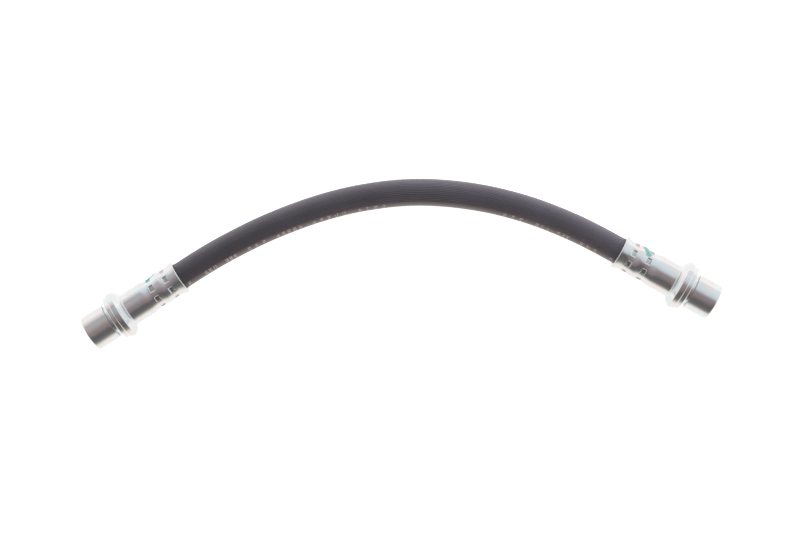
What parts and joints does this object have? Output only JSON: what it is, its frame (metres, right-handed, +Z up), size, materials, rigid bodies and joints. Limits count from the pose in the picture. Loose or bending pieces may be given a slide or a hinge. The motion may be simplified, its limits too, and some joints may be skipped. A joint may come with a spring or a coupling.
{
  "type": "brake hose",
  "caption": "Short flexible hydraulic brake hose in a shallow arch, ribbed rubber with a crimped steel female port fitting on each end.",
  "frame": {"origin": "on the table that the hose lies on, under the middle of the box that holds the two end fittings", "axes": "+X from the left end fitting to the right one, +Y across the arch towards its crown, +Z up from the table"},
  "size_m": [0.2423, 0.0582, 0.0193],
  "materials": {
    "liner_rubber": "smooth extruded rubber",
    "braid_yarn": "braided synthetic yarn",
    "cover_rubber": "finely ribbed charcoal rubber with a smooth print band",
    "zinc_plated_steel": "bright zinc plate"
  },
  "bodies": {
    "root": {"inner_liner": "liner_rubber", "inner_braid": "braid_yarn", "cushion_layer": "liner_rubber", "outer_braid": "braid_yarn", "outer_cover": "cover_rubber", "left_end_fitting": "zinc_plated_steel", "right_end_fitting": "zinc_plated_steel"}
  },
  "joints": []
}
